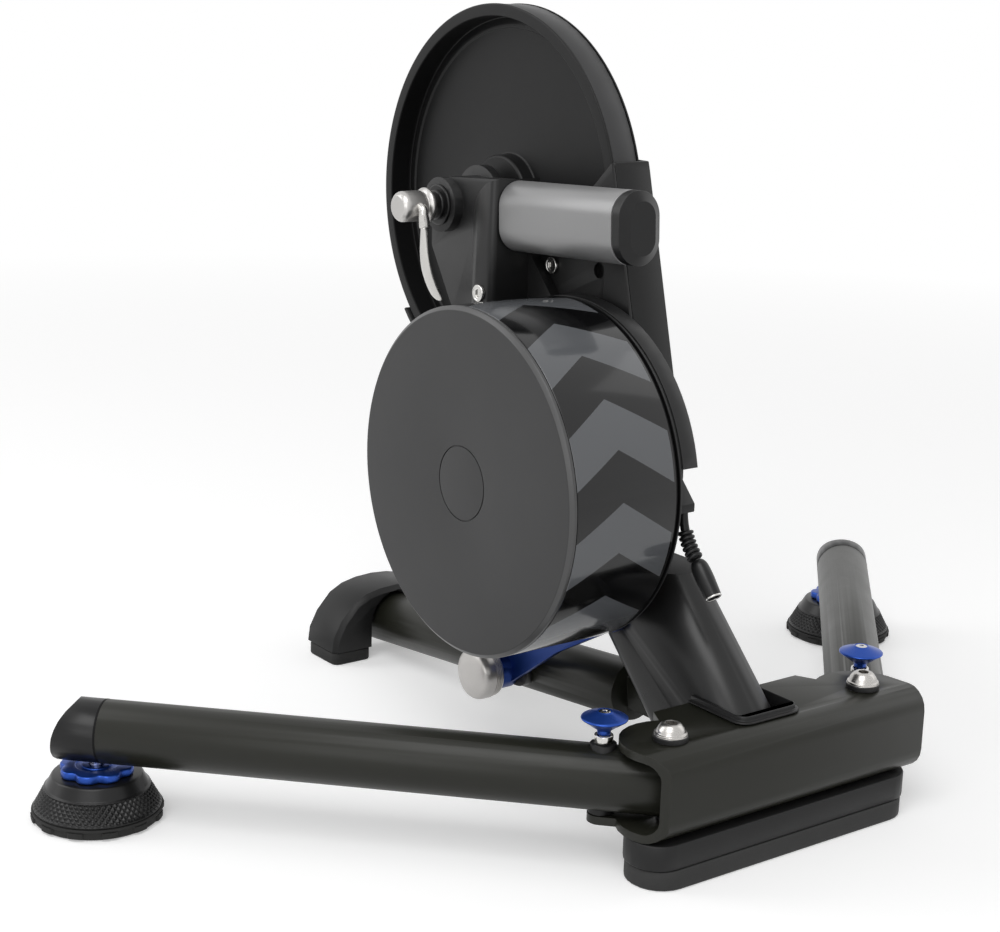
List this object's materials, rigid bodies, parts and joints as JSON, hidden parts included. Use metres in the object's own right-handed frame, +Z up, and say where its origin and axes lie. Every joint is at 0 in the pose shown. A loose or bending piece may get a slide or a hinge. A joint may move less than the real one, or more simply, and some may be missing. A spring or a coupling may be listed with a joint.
{
  "type": "direct drive bike trainer",
  "caption": "Direct drive indoor bike trainer: folding legs, leaning mast, belt-driven flywheel, rear axle with sprockets",
  "frame": {"origin": "centre of the footprint on the floor", "axes": "+X to the drive side, +Y the way the bicycle faces, +Z up"},
  "size_m": [0.7118, 0.451, 0.4797],
  "materials": {
    "painted_steel": "satin black-olive powder coat",
    "black_casting": "satin black coated casting",
    "black_plastic": "satin moulded",
    "black_rubber": "matt moulded",
    "cover_grey": "satin dark grey coated plate",
    "rim_gloss": "gloss black with grey chevrons",
    "blue_anodised": "blue anodised",
    "bright_steel": "polished and plated",
    "grip_grey": "satin light grey",
    "copper_coil": "varnished copper windings"
  },
  "bodies": {
    "base": {"rear_bracket": "painted_steel", "slot_bezel": "black_plastic", "pad_holder": "black_plastic", "rear_pad": "black_rubber", "centre_tube": "painted_steel", "front_foot": "black_plastic", "front_pad_left": "black_rubber", "front_pad_right": "black_rubber", "slide_rail": "black_casting", "pivot_bolt": "bright_steel", "left_fold_bolt": "bright_steel", "right_fold_bolt": "bright_steel"},
    "left_leg": {"left_leg_tube": "painted_steel", "left_leg_cap": "black_plastic", "left_lock_sleeve": "black_plastic", "left_lock_ferrule": "bright_steel"},
    "left_lock": {"left_lock_pin": "bright_steel", "left_lock_knob": "blue_anodised"},
    "left_foot": {"left_foot_body": "black_plastic", "left_foot_pad": "black_rubber", "left_foot_wheel": "blue_anodised", "left_foot_screw": "bright_steel"},
    "right_leg": {"right_leg_tube": "painted_steel", "right_leg_cap": "black_plastic", "right_lock_sleeve": "black_plastic", "right_lock_ferrule": "bright_steel"},
    "right_lock": {"right_lock_pin": "bright_steel", "right_lock_knob": "blue_anodised"},
    "right_foot": {"right_foot_body": "black_plastic", "right_foot_pad": "black_rubber", "right_foot_wheel": "blue_anodised", "right_foot_screw": "bright_steel"},
    "mast": {"mast_tube": "painted_steel", "frame_casting": "black_casting", "belt_backplate": "black_plastic", "belt_guard": "black_plastic", "brake_housing": "black_casting", "brake_coils": "copper_coil", "power_socket": "black_plastic", "lead_relief": "black_plastic", "lead_connector": "black_plastic", "carry_handle": "grip_grey", "handle_cap": "black_plastic", "neck_screw_upper": "bright_steel", "neck_screw_lower": "bright_steel", "hub_axle": "black_casting", "strut_screw": "bright_steel", "drive_belt": "black_rubber"},
    "strut": {"height_strut": "blue_anodised"},
    "clamp": {"clamp_knob": "bright_steel"},
    "wheel": {"flywheel": "rim_gloss", "flywheel_cover": "cover_grey", "small_pulley": "black_casting"},
    "pulley": {"drive_pulley": "black_casting"},
    "freehub": {"freehub_body": "bright_steel", "cassette": "bright_steel"},
    "skewer": {"skewer_rod": "bright_steel", "skewer_head": "bright_steel"},
    "lever": {"skewer_lever": "bright_steel"},
    "axle_nut": {"skewer_nut": "bright_steel"}
  },
  "joints": [
    {"name": "left_leg_fold", "type": "hinge", "parent": "base", "child": "left_leg", "pos_m": [-0.078, -0.2015, 0.0545], "axis": [0, 0, 1], "range_deg": [-44, 0]},
    {"name": "left_lock_pull", "type": "slide", "parent": "left_leg", "child": "left_lock", "axis": [0, 0, 1], "range_m": [0, 0.006], "stiffness_N_per_m": 900, "springref_m": -0.004},
    {"name": "left_foot_turn", "type": "hinge", "parent": "left_leg", "child": "left_foot", "pos_m": [-0.316, 0.0441, 0.02], "axis": [0, 0, 1], "continuous": true},
    {"name": "right_leg_fold", "type": "hinge", "parent": "base", "child": "right_leg", "pos_m": [0.078, -0.2015, 0.0545], "axis": [0, 0, 1], "range_deg": [0, 44]},
    {"name": "right_lock_pull", "type": "slide", "parent": "right_leg", "child": "right_lock", "axis": [0, 0, 1], "range_m": [0, 0.006], "stiffness_N_per_m": 900, "springref_m": -0.004},
    {"name": "right_foot_turn", "type": "hinge", "parent": "right_leg", "child": "right_foot", "pos_m": [0.316, 0.0441, 0.02], "axis": [0, 0, 1], "continuous": true},
    {"name": "mast_tilt", "type": "hinge", "parent": "base", "child": "mast", "pos_m": [-0.007, -0.1708, 0.058], "axis": [1, 0, 0], "range_deg": [-8, 4]},
    {"name": "strut_swing", "type": "hinge", "parent": "mast", "child": "strut", "pos_m": [-0.0299, -0.0885, 0.117], "axis": [1, 0, 0], "range_deg": [-7, 14]},
    {"name": "clamp_turn", "type": "hinge", "parent": "strut", "child": "clamp", "pos_m": [-0.05, 0.0215, 0.04564], "axis": [1, 0, 0], "continuous": true},
    {"name": "flywheel_spin", "type": "hinge", "parent": "mast", "child": "wheel", "pos_m": [-0.08, -0.058, 0.2048], "axis": [1, 0, 0], "continuous": true},
    {"name": "pulley_spin", "type": "hinge", "parent": "mast", "child": "pulley", "pos_m": [-0.009, 0.0625, 0.3535], "axis": [1, 0, 0], "continuous": true},
    {"name": "freehub_spin", "type": "hinge", "parent": "mast", "child": "freehub", "pos_m": [0.035, 0.0625, 0.3535], "axis": [1, 0, 0], "continuous": true},
    {"name": "skewer_turn", "type": "hinge", "parent": "mast", "child": "skewer", "pos_m": [-0.08, 0.0625, 0.3535], "axis": [1, 0, 0], "continuous": true},
    {"name": "lever_cam", "type": "hinge", "parent": "skewer", "child": "lever", "pos_m": [-0.081, 0.0625, 0.3535], "axis": [0, 1, 0], "range_deg": [0, 170]},
    {"name": "axle_nut_turn", "type": "hinge", "parent": "mast", "child": "axle_nut", "pos_m": [0.075, 0.0625, 0.3535], "axis": [1, 0, 0], "continuous": true}
  ],
  "couplings": [
    {"joint": "strut_swing", "follows": "mast_tilt", "ratio": -1.67},
    {"joint": "pulley_spin", "follows": "flywheel_spin", "ratio": 0.1653}
  ]
}
